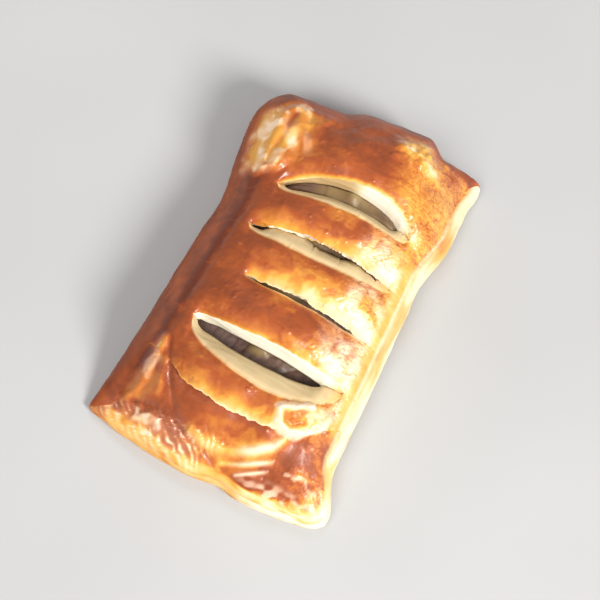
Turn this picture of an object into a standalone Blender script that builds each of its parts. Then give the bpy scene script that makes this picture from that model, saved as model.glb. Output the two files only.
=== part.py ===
"""Vegetable strudel: one folded slice of puff pastry with a slashed lid over a vegetable filling.

The object lies on z = 0 with +Z up and its length along Y. Sizes below are in millimetres.
Every surface is one sheet mapped from the square a, b in -1..1: a runs across, from the left
wall to the right wall, and b runs along, from the near end to the far end. The lid fills the
square, and rings that leave its edge make the walls, down to the flat base.
"""
import bmesh
import bpy
import numpy as np

MM = 0.001

# Plan: the four corners of the outline and how far its sides bow
NEAR_LEFT = (-51.0, -73.0)
NEAR_RIGHT = (47.6, -76.6)
FAR_LEFT = (-46.8, 67.0)
FAR_RIGHT = (51.2, 79.0)
LEFT_WAIST = 4.3
LEFT_DENT = 2.6
RIGHT_WAIST = 4.6
RIGHT_TIP = 2.2
NEAR_BULGE = 5.2
FAR_BULGE = 3.0
FAR_CROWN_BULGE = 3.0
# Roundness of each corner: a low power is a round corner, a high one a pointed corner
CORNER_POWERS = {"near_left": 60.0, "near_right": 20.0, "far_left": 16.0, "far_right": 60.0}
# How far the lid's edge stands in from the outline
INSETS = {"left": 8.0, "right": 6.6, "near": 4.0, "far": 6.0}
# The lid's rough half width and half length, for reading its height at a slash
HALF_WIDTH = 38.0
HALF_LENGTH = 77.0

# Heights: the lid's crown, and its edge along each side
CROWN = 37.0
NEAR_DROP = 26.5
FAR_DROP = 12.0
LEFT_EDGE = 24.5
LEFT_NEAR_DROP = 20.0
RIGHT_EDGE = 20.5
RIGHT_NEAR_DROP = 11.5
RIGHT_FAR_DROP = 12.5

# Slashes across the lid: both ends, the middle's y, how far the middle arches beyond the ends,
# the slant of the line, the half width inside, how much wider the cut is at the crust on its
# near and far side, and how deep the crust rolls down to its lips
SLASHES = (
    dict(left=-23.5, right=27.0, y=36.2, arch=6.4, slant=0.06, open=2.5, near=7.4, far=0.8, roll=3.4),
    dict(left=-28.5, right=31.5, y=12.4, arch=2.0, slant=0.03, open=1.1, near=6.4, far=0.2, roll=4.2),
    dict(left=-21.5, right=31.0, y=-10.9, arch=0.3, slant=-0.02, open=0.9, near=0.7, far=0.2, roll=4.2),
    dict(left=-31.0, right=26.0, y=-35.2, arch=-3.3, slant=-0.02, open=3.2, near=8.4, far=0.8, roll=3.2),
)
ROLL_REACH = 8.0
# The last slash is shut: the strip beside it laps over it as a step
LAP = dict(left=-28.5, right=30.0, y=-59.2, arch=-7.5, slant=0.03, step=3.6, reach=17.0)

# Folds of the crust: straight ribs and, with a height below 0, creases
FOLDS = (
    dict(start=(-32.8, 33.0), end=(-30.6, 57.0), width=1.8, height=-1.0),
    dict(start=(-38.1, -43.0), end=(-37.2, -64.5), width=3.0, height=2.4),
    dict(start=(-34.0, -70.8), end=(-24.0, -67.0), width=2.4, height=1.4),
    dict(start=(-33.0, -64.8), end=(-23.4, -67.4), width=1.7, height=-1.5),
    dict(start=(-23.4, -67.5), end=(13.0, -76.0), width=1.7, height=-1.3),
    dict(start=(-8.0, -68.0), end=(16.0, -66.5), width=2.2, height=1.2),
)
# The far left corner is folded over the lid up to a slanting edge through this point
FLAP_EDGE = dict(point=(-35.0, 29.5), outward=(-0.889, 0.457), near_y=24.0, right_x=-12.0, height=1.7)
BLISTERS = ((14.1, 64.3), (26.2, 61.4))
BLISTER = dict(radius=4.6, height=2.6, moat_radius=7.0, moat=0.8)
# A curled end of the strip beside the lap: a ring-shaped rib with a pit in it, open on one side
CURL = dict(centre=(18.6, -49.6), radius=7.0, width=2.4, height=1.9, open_towards=1.0, pit=3.2)
WRINKLES = dict(start_y=-61.0, height=0.55, across=0.62, along=0.95, bend=0.9, bend_pitch=0.17)

# Hollow inside the pastry, and the filling in it
LID_THICKNESS = 6.4
BASE_THICKNESS = 5.0
HOLLOW_ACROSS = 0.86
HOLLOW_NEAR = -0.62
HOLLOW_FAR = 0.80
GAP = 0.5
FILLING_TOP = 25.5
LUMP = 1.6
LUMP_PITCH = 9.0

# Mesh steps
LID_STEPS = (36, 56)
HOLLOW_STEPS = (16, 22)
FILLING_STEPS = (18, 28)
SLASH_STEPS = 14
WALL_RINGS = (0.12, 0.32, 0.56, 0.80, 1.0)
HOLLOW_RINGS = (0.3, 0.7, 1.0)
FILLING_RINGS = (0.5, 1.0)

CRUST_COLOR = (0.52, 0.16, 0.035, 1.0)
FILLING_COLOR = (0.16, 0.11, 0.06, 1.0)
CRUST_ROUGHNESS = 0.35
FILLING_ROUGHNESS = 0.55


def smooth(t):
    """S-shaped step from 0 to 1."""
    t = np.clip(t, 0.0, 1.0)
    return t * t * (3.0 - 2.0 * t)


def mix(first, second, share):
    return first + (second - first) * share


def bump(distance, width):
    """Bell of height 1 and the given half width."""
    return np.exp(-(distance / width) ** 2)


def round_corners(a, b):
    """Pull the square's corners in, each by its own power."""
    across = (a + 1.0) / 2.0
    along = (b + 1.0) / 2.0
    near = mix(CORNER_POWERS["near_left"], CORNER_POWERS["near_right"], across)
    far = mix(CORNER_POWERS["far_left"], CORNER_POWERS["far_right"], across)
    power = mix(near, far, along)
    big = np.maximum(abs(a), abs(b))
    ratio = np.minimum(abs(a), abs(b)) / np.maximum(big, 1e-6)
    scale = 1.0 + ((1.0 + ratio ** power) ** (-1.0 / power) - 1.0) * big ** 6
    return a * scale, b * scale


def left_x(b):
    y = mix(NEAR_LEFT[1], FAR_LEFT[1], (b + 1.0) / 2.0)
    waist = LEFT_WAIST * np.cos(b * np.pi / 2.0) ** 0.8 + LEFT_DENT * bump(y - 22.0, 17.0)
    return mix(NEAR_LEFT[0], FAR_LEFT[0], (b + 1.0) / 2.0) + waist


def right_x(b):
    y = mix(NEAR_RIGHT[1], FAR_RIGHT[1], (b + 1.0) / 2.0)
    waist = RIGHT_WAIST * smooth((y + 75.0) / 20.0) * smooth((50.0 - y) / 26.0)
    tip = RIGHT_TIP * smooth((78.0 - y) / 14.0) * smooth((y + 75.0) / 20.0)
    return mix(NEAR_RIGHT[0], FAR_RIGHT[0], (b + 1.0) / 2.0) - waist - tip


def near_y(a):
    x = mix(NEAR_LEFT[0], NEAR_RIGHT[0], (a + 1.0) / 2.0)
    bulge = NEAR_BULGE * (1.0 - abs(a) ** 2.6) - 1.8 * bump(x - 4.0, 7.0)
    return mix(NEAR_LEFT[1], NEAR_RIGHT[1], (a + 1.0) / 2.0) - bulge


def far_y(a):
    x = mix(FAR_LEFT[0], FAR_RIGHT[0], (a + 1.0) / 2.0)
    bulge = FAR_BULGE * smooth((x + 46.0) / 9.0) * smooth((34.0 - x) / 11.0)
    crown = FAR_CROWN_BULGE * smooth((x + 16.0) / 13.0) * smooth((32.0 - x) / 10.0)
    return mix(FAR_LEFT[1], FAR_RIGHT[1], (a + 1.0) / 2.0) + bulge + crown


def plan(a, b, inset):
    """Place of a, b in plan; inset is a share of INSETS for each side, by name."""
    a, b = round_corners(a, b)
    across = (a + 1.0) / 2.0
    along = (b + 1.0) / 2.0
    start_x = left_x(b) + INSETS["left"] * inset["left"]
    end_x = right_x(b) - INSETS["right"] * inset["right"]
    start_y = near_y(a) + INSETS["near"] * inset["near"]
    end_y = far_y(a) - INSETS["far"] * inset["far"]
    return mix(start_x, end_x, across), mix(start_y, end_y, along)


def lid_plan(a, b):
    """Place of a, b in plan on the lid, which stands in from the outline by all of INSETS."""
    return plan(a, b, {side: 1.0 for side in INSETS})


def slash_middle(slash, x):
    """Centre line's y at x, and a measure that is 0 mid-slash and 1 at its ends."""
    middle = (slash["left"] + slash["right"]) / 2.0
    u = (x - middle) / ((slash["right"] - slash["left"]) / 2.0)
    return slash["y"] - slash["arch"] * u * u + slash["slant"] * (x - middle), abs(u)


def lens(u):
    """Width of a slash along it: 1 mid-slash, closing to 0 at its ends."""
    return np.clip(1.0 - u * u, 0.0, 1.0) ** 0.6


def lid_base(a, b):
    """Height of the plain lid: a dome from edge to edge."""
    near = np.clip((-0.55 - b) / 0.45, 0.0, 1.0)
    far = np.clip((b - 0.55) / 0.45, 0.0, 1.0)
    crown = CROWN - NEAR_DROP * near * smooth(near) - FAR_DROP * far ** 2
    near = np.clip((-0.40 - b) / 0.60, 0.0, 1.0)
    left = LEFT_EDGE - LEFT_NEAR_DROP * near * smooth(near)
    near = np.clip((-0.30 - b) / 0.70, 0.0, 1.0)
    far = np.clip((b - 0.35) / 0.65, 0.0, 1.0)
    right = RIGHT_EDGE - RIGHT_NEAR_DROP * near * smooth(near) - RIGHT_FAR_DROP * far * smooth(far)
    dome = np.clip(1.0 - abs(a) ** 2.4, 0.0, 1.0) ** 0.9
    return mix(mix(left, right, (a + 1.0) / 2.0), crown, dome)


def strips(x, y):
    """Relief that parts the lid into puffed strips: a roll down to each slash, and the lap."""
    relief = np.zeros_like(x)
    for slash in SLASHES:
        middle, u = slash_middle(slash, x)
        lip = np.where(y > middle, slash["open"] + slash["far"], slash["open"] + slash["near"])
        away = np.maximum(abs(y - middle) - lip * lens(u), 0.0)
        rolled = np.clip(1.0 - away / ROLL_REACH, 0.0, 1.0) ** 2.2
        relief -= slash["roll"] * rolled * smooth((1.28 - u) / 0.5)
    middle, u = slash_middle(LAP, x)
    under = middle - y
    ends = smooth((1.15 - u) / 0.4)
    lowered = smooth(under / 1.8 + 0.5) * np.clip(1.0 - under / LAP["reach"], 0.0, 1.0)
    rolled = bump(under + 1.5, 4.0) * 0.35
    return relief - LAP["step"] * ends * (lowered + rolled * (under < 0.0))


def ridge(x, y, start, end, width):
    """Bell-shaped rib of height 1 along the line from start to end."""
    run = np.array(end) - np.array(start)
    length = np.hypot(*run)
    along = np.clip(((x - start[0]) * run[0] + (y - start[1]) * run[1]) / length ** 2, 0.0, 1.0)
    distance = np.hypot(x - start[0] - along * run[0], y - start[1] - along * run[1])
    return bump(distance, width)


def folds(x, y):
    """Folds, blisters and wrinkles of the crust."""
    edge_x, edge_y = FLAP_EDGE["point"]
    out_x, out_y = FLAP_EDGE["outward"]
    beyond = smooth(((x - edge_x) * out_x + (y - edge_y) * out_y) / 2.4 + 0.5)
    corner = smooth((y - FLAP_EDGE["near_y"]) / 8.0) * smooth((FLAP_EDGE["right_x"] - x) / 6.0)
    relief = FLAP_EDGE["height"] * beyond * corner
    for fold in FOLDS:
        relief += fold["height"] * ridge(x, y, fold["start"], fold["end"], fold["width"])
    for centre_x, centre_y in BLISTERS:
        away = np.hypot(x - centre_x, y - centre_y)
        relief += BLISTER["height"] * bump(away, BLISTER["radius"])
        relief -= BLISTER["moat"] * bump(away - BLISTER["moat_radius"], 1.8)
    wave = WRINKLES["across"] * x + WRINKLES["along"] * y
    wave += WRINKLES["bend"] * np.sin(WRINKLES["bend_pitch"] * x)
    relief += WRINKLES["height"] * smooth((WRINKLES["start_y"] - y) / 8.0) * np.sin(wave)
    centre_x, centre_y = CURL["centre"]
    away = np.hypot(x - centre_x, y - centre_y)
    facing = np.arctan2(y - centre_y, x - centre_x)
    closed = smooth(abs(facing - CURL["open_towards"]) / 0.5)
    relief += CURL["height"] * bump(away - CURL["radius"], CURL["width"]) * closed
    return relief - CURL["height"] * bump(away, CURL["pit"])


def edge_fade(a, b):
    """1 over the lid, falling to 0 at its edge, so that relief leaves the walls alone."""
    return smooth((1.0 - np.maximum(abs(a), abs(b))) / 0.07)


def lid_height(a, b, x, y):
    relief = strips(x, y) + folds(x, y)
    return lid_base(a, b) + relief * mix(0.25, 1.0, edge_fade(a, b))


def ceiling_height(a, b, x, y, sides):
    """Underside of the lid, which follows the strips half as deep and thickens at its sides."""
    return lid_base(a, b) + 0.5 * strips(x, y) - LID_THICKNESS - 1.6 * abs(sides) ** 4


def wall_inset(a, b, c):
    """Share of each side's inset left at c, which is 0 at the lid's edge and 1 at the foot."""
    def leaving(widest, tuck):
        rising = 1.0 - (1.0 - np.minimum(c / widest, 1.0)) ** 2
        tucked = tuck * np.clip((c - widest) / (1.0 - widest), 0.0, 1.0) ** 2
        return 1.0 - rising + tucked
    return {"left": leaving(0.84, 0.22), "right": leaving(0.84, 0.25),
            "near": leaving(0.66, 0.35), "far": leaving(0.50, 0.62)}


def pastry_form(a, b, c):
    """Outer surface: the lid at c = 0 and the walls down to the foot at c = 1."""
    x, y = plan(a, b, wall_inset(a, b, c))
    top = lid_height(a, b, *lid_plan(a, b))
    shoulder = 4.0 * c * (1.0 - c) * mix(1.0, 0.3, (a + 1.0) / 2.0)
    layers = 0.45 * np.sin(c * 9.0 + 0.35 * x) * c * (1.0 - c) * 4.0 * (b < -0.9)
    return x, y + layers, top * (1.0 - c) + shoulder


def inner_square(a, b, shrink):
    """The part of the lid's square that the hollow fills; shrink is in millimetres."""
    across = a * (HOLLOW_ACROSS - shrink / 38.0)
    near = HOLLOW_NEAR + shrink / 72.0
    far = HOLLOW_FAR - shrink / 72.0
    return across, mix(near, far, (b + 1.0) / 2.0)


def hollow_form(a, b, c):
    """Inside of the pastry: the lid's underside, walls that bow out a little and a flat floor."""
    inner_a, inner_b = inner_square(a, b, 0.0)
    x, y = lid_plan(inner_a, inner_b)
    top = ceiling_height(inner_a, inner_b, x, y, a)
    bow = 1.0 + 0.035 * np.sin(c * np.pi)
    return x * bow, y * bow, mix(top, BASE_THICKNESS, c)


def filling_form(a, b, c):
    """Filling: as the hollow less a gap, with a lumpy top below the slashes."""
    inner_a, inner_b = inner_square(a, b, GAP + 0.5)
    x, y = lid_plan(inner_a, inner_b)
    ceiling = ceiling_height(inner_a, inner_b, x, y, a)
    lumps = np.sin(x * 2.0 * np.pi / LUMP_PITCH + 1.3 * np.sin(y / 7.0))
    lumps = LUMP * lumps * np.sin(y * 2.0 * np.pi / LUMP_PITCH + 1.1 * np.sin(x / 8.0))
    surface = np.minimum(FILLING_TOP + lumps - 5.0 * abs(a) ** 3, ceiling - 2.0 * GAP)
    return x, y, mix(surface, BASE_THICKNESS + GAP, c)


def make_material(name, color, roughness):
    material = bpy.data.materials.new(name)
    material.use_nodes = True
    shader = material.node_tree.nodes["Principled BSDF"]
    shader.inputs["Base Color"].default_value = color
    shader.inputs["Roughness"].default_value = roughness
    shader.inputs["Metallic"].default_value = 0.0
    material.diffuse_color = color
    return material


def place_vertices(bm, form):
    """Map every vertex, whose co holds a, b and -c, to its place on the form."""
    square = np.array([vertex.co for vertex in bm.verts])
    places = np.stack(form(square[:, 0], square[:, 1], -square[:, 2]), axis=1) * MM
    for vertex, place in zip(bm.verts, places):
        vertex.co = place


def make_object(name, bm, collection):
    bmesh.ops.recalc_face_normals(bm, faces=bm.faces)
    mesh = bpy.data.meshes.new(name)
    bm.to_mesh(mesh)
    bm.free()
    made = bpy.data.objects.new(name, mesh)
    collection.objects.link(made)
    return made


def make_closed_sheet(name, form, steps, rings, collection):
    """A grid for the top, its edge extruded down ring by ring, and one flat face for the base."""
    bm = bmesh.new()
    bmesh.ops.create_grid(bm, x_segments=steps[0], y_segments=steps[1], size=1.0)
    rim = [edge for edge in bm.edges if edge.is_boundary]
    for ring in rings:
        grown = bmesh.ops.extrude_edge_only(bm, edges=rim)["geom"]
        for vertex in (item for item in grown if isinstance(item, bmesh.types.BMVert)):
            vertex.co.z = -ring
        rim = [edge for edge in grown if isinstance(edge, bmesh.types.BMEdge) and edge.is_boundary]
    base = bmesh.ops.contextual_create(bm, geom=rim)["faces"]
    place_vertices(bm, form)
    bmesh.ops.triangulate(bm, faces=base)
    return make_object(name, bm, collection)


def make_slash_cutter(name, slash, collection):
    """A lens-shaped slot through the lid, which opens out like a funnel towards the crust."""
    bm = bmesh.new()
    bmesh.ops.create_cube(bm, size=2.0)
    for axis, cuts in ((0, SLASH_STEPS - 1), (2, 1)):
        edges = [edge for edge in bm.edges if abs(edge.verts[0].co[axis] - edge.verts[1].co[axis]) > 1.0]
        bmesh.ops.subdivide_edges(bm, edges=edges, cuts=cuts, use_grid_fill=True)

    def funnel(u, side, depth):
        x = mix(slash["left"], slash["right"], (u + 1.0) / 2.0)
        y, _ = slash_middle(slash, x)
        crust = lid_base(x / HALF_WIDTH, y / HALF_LENGTH) - slash["roll"]
        inside = crust - LID_THICKNESS + 0.5 * slash["roll"]
        z = np.where(depth > 0.5, inside - 9.0, np.where(depth < -0.5, crust + 9.0, inside))
        spread = np.maximum(z - inside, 0.0) / (crust - inside)
        wider = np.where(side > 0.0, slash["far"], slash["near"])
        return x, y + side * ((slash["open"] + wider * spread) * lens(u) + 0.12), z

    place_vertices(bm, funnel)
    return make_object(name, bm, collection)


def cut(target, cutters):
    """Take every cutter in the collection away from the target."""
    boolean = target.modifiers.new("openings", 'BOOLEAN')
    boolean.operation = 'DIFFERENCE'
    boolean.operand_type = 'COLLECTION'
    boolean.collection = cutters
    boolean.solver = 'EXACT'


def new_collection(name):
    collection = bpy.data.collections.new(name)
    bpy.context.scene.collection.children.link(collection)
    return collection


def centre_offset(target):
    """Move that puts the middle of the base of the target's box at the origin."""
    points = np.array([vertex.co for vertex in target.data.vertices])
    low = points.min(axis=0)
    high = points.max(axis=0)
    return (-(low[0] + high[0]) / 2.0, -(low[1] + high[1]) / 2.0, -low[2])


def main():
    for old in list(bpy.data.objects):
        bpy.data.objects.remove(old, do_unlink=True)
    parts = new_collection("vegetable_strudel")
    cutters = new_collection("cutters")

    pastry = make_closed_sheet("pastry", pastry_form, LID_STEPS, WALL_RINGS, parts)
    pastry.data.materials.append(make_material("pastry_crust", CRUST_COLOR, CRUST_ROUGHNESS))
    filling = make_closed_sheet("filling", filling_form, FILLING_STEPS, FILLING_RINGS, parts)
    filling.data.materials.append(make_material("vegetable_filling", FILLING_COLOR, FILLING_ROUGHNESS))

    make_closed_sheet("hollow", hollow_form, HOLLOW_STEPS, HOLLOW_RINGS, cutters)
    for number, slash in enumerate(SLASHES, start=1):
        make_slash_cutter(f"slash_{number}", slash, cutters)
    cut(pastry, cutters)

    offset = centre_offset(pastry)
    for placed in list(parts.objects) + list(cutters.objects):
        placed.location = offset
    for cutter in cutters.objects:
        cutter.hide_render = True
        cutter.display_type = 'WIRE'


main()
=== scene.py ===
"""A slice of vegetable strudel: a slashed, egg-glazed puff pastry crust over cooked vegetables.

Lengths are in millimetres until a mesh is made. The crust is mapped from a square: a runs
across, -1 at the left edge of the lid and 1 at its right edge, and b runs along, -1 at the near
end and 1 at the far end. The walls leave the lid's edge at c = 0 and reach the base at c = 1.
"""

import bmesh
import bpy
import numpy as np
from mathutils import Matrix, Vector


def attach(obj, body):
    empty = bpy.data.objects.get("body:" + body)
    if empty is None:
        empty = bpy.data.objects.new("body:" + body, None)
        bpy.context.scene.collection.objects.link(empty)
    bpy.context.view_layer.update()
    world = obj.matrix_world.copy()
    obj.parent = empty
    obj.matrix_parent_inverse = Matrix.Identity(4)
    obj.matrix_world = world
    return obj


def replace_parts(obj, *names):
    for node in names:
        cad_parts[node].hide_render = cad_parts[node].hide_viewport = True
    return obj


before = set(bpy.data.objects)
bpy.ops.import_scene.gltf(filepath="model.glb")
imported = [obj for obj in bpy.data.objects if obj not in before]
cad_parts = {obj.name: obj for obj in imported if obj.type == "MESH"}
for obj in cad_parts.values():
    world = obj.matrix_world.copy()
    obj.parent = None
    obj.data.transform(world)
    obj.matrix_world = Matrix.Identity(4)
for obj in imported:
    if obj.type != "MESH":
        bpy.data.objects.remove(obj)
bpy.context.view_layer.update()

MM = 0.001

# Plan of the crust, as in the solid: corners, bows of the sides, roundness of the corners
NEAR_LEFT = (-51, -73)
NEAR_RIGHT = (47.6, -76.6)
FAR_LEFT = (-46.8, 67)
FAR_RIGHT = (51.2, 79)
LEFT_WAIST = 4.3
LEFT_DENT = 2.6
RIGHT_WAIST = 4.6
RIGHT_TIP = 2.2
NEAR_BULGE = 5.2
FAR_BULGE = 3
FAR_CROWN_BULGE = 3
CORNER_POWERS = {"near_left": 60, "near_right": 20, "far_left": 16, "far_right": 60}
INSETS = {"left": 8, "right": 6.6, "near": 4, "far": 6}
HALF_LENGTH = 74

# Heights of the crust, as in the solid
CROWN = 37
NEAR_DROP = 26.5
FAR_DROP = 12
LEFT_EDGE = 24.5
LEFT_NEAR_DROP = 20
RIGHT_EDGE = 20.5
RIGHT_NEAR_DROP = 11.5
RIGHT_FAR_DROP = 12.5

# Slashes, far one first: ends, the middle's y, arch, slant, half width inside, how much wider
# the cut is at the crust on its near and far side, how deep the crust rolls down to its near
# and far lip, how ragged the lips are, how far the far lip hangs over the cut, how far the near
# cut face reaches in under it, how full that face is, how blunt the cut's ends are at the crust,
# how much wider each lip's bow is to the right than to the left, the ends of the opening, over
# how long the pale cut faces brown towards each end, how much further the near face reaches in
# where there is no gap, the gaps' middles and widths, and up to where filling stains the far face
SLASHES = (
    dict(left=-25.5, right=29, y=36.2, arch=6.4, slant=0.06, open=2.9, near=5.4, far=0.8,
         near_roll=2, far_roll=3.6, ragged=0.25, hang=-0.9, ledge=-0.3, full=1.5, blunt=(0.6, 0.55),
         skew=0, far_skew=0.4, inside=(-23, 24), brown=(4, 6), shut=0, gaps=(),
         stained=3),
    dict(left=-28.5, right=31.5, y=12.4, arch=2, slant=0.03, open=1.1, near=6, far=0.2,
         near_roll=2.6, far_roll=3.6, ragged=0.65, hang=1, ledge=0.8, full=2, blunt=(0.55, 0.75),
         skew=0, far_skew=0, inside=(-27.6, 24), brown=(5, 12), shut=1.8,
         gaps=((-24.2, 3), (3.4, 7.5)), stained=-40),
    dict(left=-21.5, right=31, y=-10.9, arch=0.3, slant=-0.02, open=0.9, near=0.7, far=0.2,
         near_roll=2.6, far_roll=3.4, ragged=0.7, hang=0.6, ledge=0.3, full=1.6, blunt=(0.6, 0.6),
         skew=0, far_skew=0, inside=(-21, 26), brown=(3, 6), shut=0, gaps=(),
         stained=-40),
    dict(left=-31.5, right=31, y=-35.2, arch=-3.3, slant=-0.02, open=3.4, near=8, far=0.8,
         near_roll=1.9, far_roll=3.6, ragged=0.2, hang=-1.1, ledge=0.4, full=1.5, blunt=(0.4, 0.62),
         skew=0.08, far_skew=0.15, inside=(-29.5, 22), brown=(1.5, 11), shut=0, gaps=(),
         stained=-40),
)
ROLL_REACH = 8
# The nearest cut is shut, and the strip on its far side laps over it
LAP = dict(left=-31, right=30, y=-56.4, arch=-7.6, slant=0.06, step=5.2, reach=19, hang=1.2,
           tuck=2.2, curl=(21, 8, 2.4))

# Edge of the folded corner at the far left, as x at some values of y
FLAP_EDGE = dict(y=(26.6, 34.3, 49.2, 64.9), x=(-37.7, -27.3, -19.3, -16.2), near_y=24, height=0.9)

# Folds, each a line with a half width and a height: ribs above 0, creases below
FOLDS = {
    "flap crease": (((-32.8, 33), (-31.5, 45), (-30.6, 58)), 1.2, -0.9),
    "left rib": (((-36.6, -43.4), (-36.9, -49), (-36.9, -55.8), (-38.2, -62.7), (-41, -66.2)),
                 1.8, 2),
    "corner crease": (((-35, -42), (-32, -48.5), (-28.7, -54.9), (-24.3, -60.9),
                       (-20, -66.5)), 0.8, -0.8),
    "near left crease": (((-37.4, -65.2), (-30.7, -64.8), (-23.4, -65.6), (-15.9, -68.9)), 0.7, -1),
    "long crease": (((-15.9, -68.9), (-5.5, -71.6), (2.4, -75.5), (15, -76.1)), 0.9, -0.9),
    "near left rib": (((-33.5, -70), (-29.7, -68.6), (-26, -69.2)), 1.5, 1.9),
    "facet rib": (((-33.2, -50), (-31.5, -57), (-29.5, -61.5)), 1.1, 0.6),
    "first ridge": (((-14, -67.5), (-9.2, -69.1), (-0.4, -68.6), (8.9, -65.1), (15, -61.1),
                     (17.3, -57.8)), 1.5, 1.5),
    "second ridge": (((0.9, -72.5), (9.3, -69.5), (17.4, -65.6)), 0.8, 1.1),
    "third ridge": (((7.8, -73.8), (17.3, -68.9)), 0.6, 0.9),
    "near right rib": (((24.3, -66.2), (30.5, -65.5), (34.4, -64.5)), 1.2, 1.1),
    "near right groove": (((23, -74), (30, -71.5), (36, -73)), 1.4, -0.7),
    "curled end": (((29, -43.7), (27.4, -49.9), (22.2, -53.9), (17.1, -55.6), (12.9, -54.4),
                    (10.2, -50.6), (11.3, -49.1), (16.1, -46.7), (20.9, -44)), 1.5, 1.9),
    "curl pit": (((14.9, -51.9), (16.9, -52.5), (20.3, -50)), 1.25, -1.6),
    "curl side": (((29.8, -40.1), (31, -44), (30, -48.5)), 1.1, -1),
    "far right rib": (((25.4, 76), (29.6, 73.4), (32.8, 70.4)), 1.5, 0.9),
}
BLISTERS = ((14.5, 65, 5, 2.8), (25.5, 62, 5.6, 3), (20.5, 69, 2.6, 1.2))
SPECKS = 260
# How golden each strip is towards its near lip, far strip first
GOLD = (0.12, 0.44, 0.52, 0.12, 0.54, 0)
# Pale flakes and painted highlights on the flap, blisters, ribs, lobes and curl, each a line with
# a half width, how much it whitens the crust and how broken it is
PALE_FLAKES_AND_HIGHLIGHTS = (
    (((-37.5, 55), (-38.6, 44.5), (-39.4, 33.9), (-38.5, 29.8)), 3.4, 0.85, 1),
    (((-26.5, 45.7), (-29, 38.8), (-33, 31.9)), 1.6, 0.5, 1),
    (((-30.8, 61.1), (-25.6, 62.5)), 1.4, 0.45, 1),
    (((11.5, 65.5), (16.5, 64)), 1.1, 0.5, 1),
    (((22.5, 63.5), (27.5, 60)), 1.3, 0.5, 1),
    (((-36.8, -46), (-37, -56)), 1.1, 0.35, 1),
    (((-34.5, -67.6), (-30.2, -68.6), (-25.5, -69.6)), 1.5, 0.75, 1),
    (((-29, -73.4), (-23.5, -76)), 1.4, 0.65, 1),
    (((28, -47.5), (22.2, -53.9), (17.1, -55.6), (12.9, -54.4), (10.2, -50.6), (11.3, -49.1),
      (16.1, -46.7), (20.9, -44)), 1.1, 0.85, 0.5),
    (((23, -47.5), (27, -45.3)), 1.5, 0.4, 0.8),
    (((24.3, -66.8), (30.5, -66.3)), 1.2, 0.65, 1),
    (((33, -67), (36, -68.5)), 0.9, 0.4, 1),
)

LID_THICKNESS = 6.4
BASE_THICKNESS = 5
HOLLOW_ACROSS = 0.86
HOLLOW_NEAR = -0.62
HOLLOW_FAR = 0.8
GAP = 0.5
FILLING_TOP = 25.5

# Mesh steps
EDGE_COLUMNS = 14
MIDDLE_COLUMNS = 156
STRIP_ROWS = (76, 46, 46, 46, 38, 50)
LAP_ROWS = 8
CUT_RINGS = 9
WALL_RINGS = 17
ROOF_ROWS = 7


def smooth(t):
    """S-shaped step from 0 to 1: three times t squared less twice t cubed."""
    t = np.clip(t, 0, 1)
    return t * t * (3 - 2 * t)


def rise(value, start, width):
    """S-shaped step up: 0 until start, 1 from width past it."""
    return smooth((value - start) / width)


def fall(value, end, width):
    """S-shaped step down: 1 until width before end, 0 from end."""
    return smooth((end - value) / width)


def mix(first, second, share):
    return first + (second - first) * share


def span(first, second, t):
    """Value between the first at t = -1 and the second at t = 1."""
    return mix(first, second, (t + 1) / 2)


def bump(distance, width):
    """Bell of height 1: e to the minus square of distance over width."""
    return np.exp(-(distance / width) ** 2)


def noise(x, y, pitch, seed):
    """Random values from about -1 to 1, the sum of two nets of squares that lie at different
    angles: each has a value at its corners, blended inside its squares by an S-shaped step."""
    table = np.random.default_rng(seed).uniform(-1, 1, (64, 64))
    total = 0
    for turn, start in ((0.35, 640), (1.15, 655.3)):
        u = (np.cos(turn) * x + np.sin(turn) * y) / pitch + start
        v = (np.cos(turn) * y - np.sin(turn) * x) / pitch + start
        i = np.floor(u).astype(int)
        j = np.floor(v).astype(int)
        s = smooth(u - i)
        t = smooth(v - j)
        low = mix(table[i % 64, j % 64], table[(i + 1) % 64, j % 64], s)
        high = mix(table[i % 64, (j + 1) % 64], table[(i + 1) % 64, (j + 1) % 64], s)
        total = total + 0.72 * mix(low, high, t)
    return total


def crumple(x, y, pitch, seed):
    """Sharp ridges up to 1: one less three times the size of the noise, at two pitches."""
    coarse = 1 - 3 * abs(noise(x, y, pitch, seed))
    fine = 1 - 3 * abs(noise(x, y, pitch * 0.45, seed + 1))
    return (coarse + 0.45 * fine) / 1.45


def flakes(x, y, pitch, seed):
    """Overlapping flakes: noise cut into terraces that rise slowly and end in a sharp drop."""
    level = 1.3 * noise(x, y, pitch, seed) + 0.9 * noise(x, y, pitch * 0.45, seed + 1)
    part = level - np.floor(level)
    return part * fall(part, 1, 0.16)


def line_distance(x, y, points):
    """Distance from x, y to a broken line: the least of the distances to its straight pieces."""
    nearest = np.full(np.shape(x), 1e9)
    for start, end in zip(points[:-1], points[1:]):
        run = np.subtract(end, start)
        along = ((x - start[0]) * run[0] + (y - start[1]) * run[1]) / (run @ run)
        along = np.clip(along, 0, 1)
        away = np.hypot(x - start[0] - along * run[0], y - start[1] - along * run[1])
        nearest = np.minimum(nearest, away)
    return nearest


def round_corners(a, b):
    """Pull the square's corners in, each by its own power."""
    across = (a + 1) / 2
    along = (b + 1) / 2
    near = mix(CORNER_POWERS["near_left"], CORNER_POWERS["near_right"], across)
    far = mix(CORNER_POWERS["far_left"], CORNER_POWERS["far_right"], across)
    power = mix(near, far, along)
    big = np.maximum(abs(a), abs(b))
    ratio = np.minimum(abs(a), abs(b)) / np.maximum(big, 1e-6)
    scale = 1 + ((1 + ratio ** power) ** (-1 / power) - 1) * big ** 6
    return a * scale, b * scale


def left_x(b):
    """Left side of the outline: a straight line, bowed in by a cosine and dented by a bell."""
    y = span(NEAR_LEFT[1], FAR_LEFT[1], b)
    bow = np.clip(np.cos(b * np.pi / 2), 0, 1) ** 0.8
    waist = LEFT_WAIST * bow + LEFT_DENT * bump(y - 22, 17)
    return span(NEAR_LEFT[0], FAR_LEFT[0], b) + waist


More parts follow.
